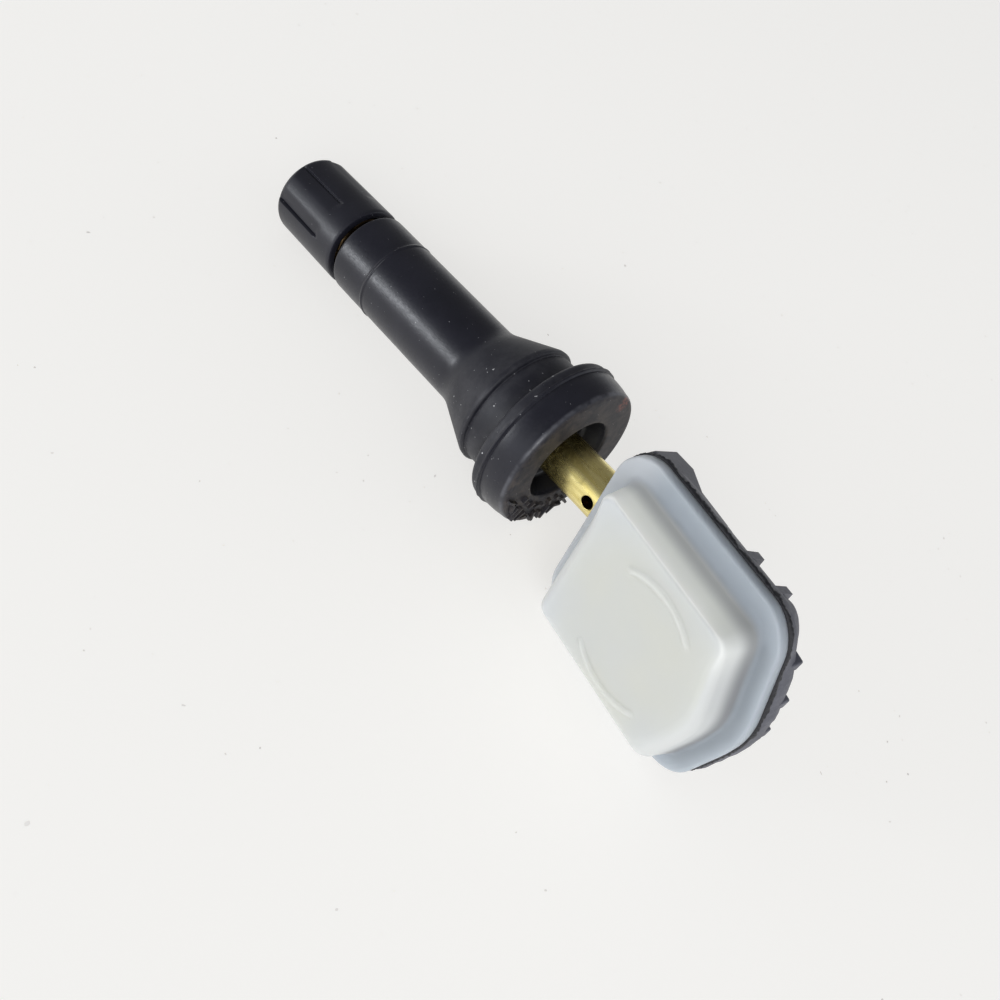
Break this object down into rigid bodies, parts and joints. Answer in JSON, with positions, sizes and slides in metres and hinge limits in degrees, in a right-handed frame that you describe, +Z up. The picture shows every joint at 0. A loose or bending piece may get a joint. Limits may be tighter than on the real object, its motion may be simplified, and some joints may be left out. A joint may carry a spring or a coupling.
{
  "type": "tyre pressure sensor",
  "caption": "Snap-in rubber tyre valve with a screw cap and a small sensor body, white cover and black housing, clamped to the end of its brass stem.",
  "frame": {"origin": "middle of the valve shoulder that seats against the inside of the wheel rim, on the valve axis", "axes": "+X along the valve from the cap to the inside of the wheel, +Z up as the sensor lies on its side, with the white cover towards -Y"},
  "size_m": [0.0812, 0.0226, 0.0241],
  "materials": {
    "neck_rubber": "moulded black rubber, satin, with a little bloom",
    "cap_plastic": "black moulded nylon",
    "soft_seal": "black sealing rubber",
    "stem_brass": "turned brass, tarnished in patches",
    "core_brass": "bright turned brass",
    "gasket_red": "tapered core gasket",
    "spring_wire": "spring wire",
    "screw_steel": "plated steel",
    "housing_plastic": "glass-filled black plastic, slightly grey",
    "joint_adhesive": "rough black adhesive",
    "cover_plastic": "milky white plastic, satin",
    "board_green": "circuit board",
    "cell_steel": "coin cell can",
    "tab_nickel": "nickel strip",
    "chip_black": "moulded chip",
    "sensor_ceramic": "sensor package",
    "gasket_clear": "silicone port gasket",
    "ferrite": "ferrite",
    "winding_copper": "enamelled copper wire",
    "crystal_can": "crystal can",
    "capacitor_ceramic": "ceramic chip capacitor"
  },
  "bodies": {
    "root": {"valve_rubber": "neck_rubber", "valve_stem": "stem_brass", "core_head": "core_brass", "core_gasket": "gasket_red", "core_barrel": "core_brass", "core_spring": "spring_wire", "fixing_screw": "screw_steel", "housing": "housing_plastic", "joint_bead": "joint_adhesive", "cover": "cover_plastic", "circuit_board": "board_green", "coin_cell": "cell_steel", "cell_tab_positive": "tab_nickel", "cell_tab_negative": "tab_nickel", "pressure_sensor": "sensor_ceramic", "port_gasket": "gasket_clear", "controller_chip": "chip_black", "coil_core": "ferrite", "coil_winding": "winding_copper", "crystal": "crystal_can", "capacitors": "capacitor_ceramic", "resistors": "chip_black", "antenna_loop": "winding_copper"},
    "cap_carrier": {"cap_seal": "soft_seal"},
    "screw_cap": {"valve_cap": "cap_plastic"},
    "core_plunger": {"core_pin": "core_brass", "core_cup": "core_brass", "core_cup_seal": "soft_seal"}
  },
  "joints": [
    {"name": "cap_lift", "type": "slide", "parent": "root", "child": "cap_carrier", "axis": [-1, 0, 0], "range_m": [0, 0.0095]},
    {"name": "cap_turn", "type": "hinge", "parent": "cap_carrier", "child": "screw_cap", "pos_m": [-0.038, 0, 0], "axis": [-1, 0, 0], "range_deg": [0, 4320]},
    {"name": "pin_press", "type": "slide", "parent": "root", "child": "core_plunger", "axis": [1, 0, 0], "range_m": [0, 0.0012], "stiffness_N_per_m": 300, "deforming": ["core_spring"]}
  ],
  "couplings": [
    {"joint": "cap_turn", "follows": "cap_lift", "rad_per_m": 7913.4}
  ]
}
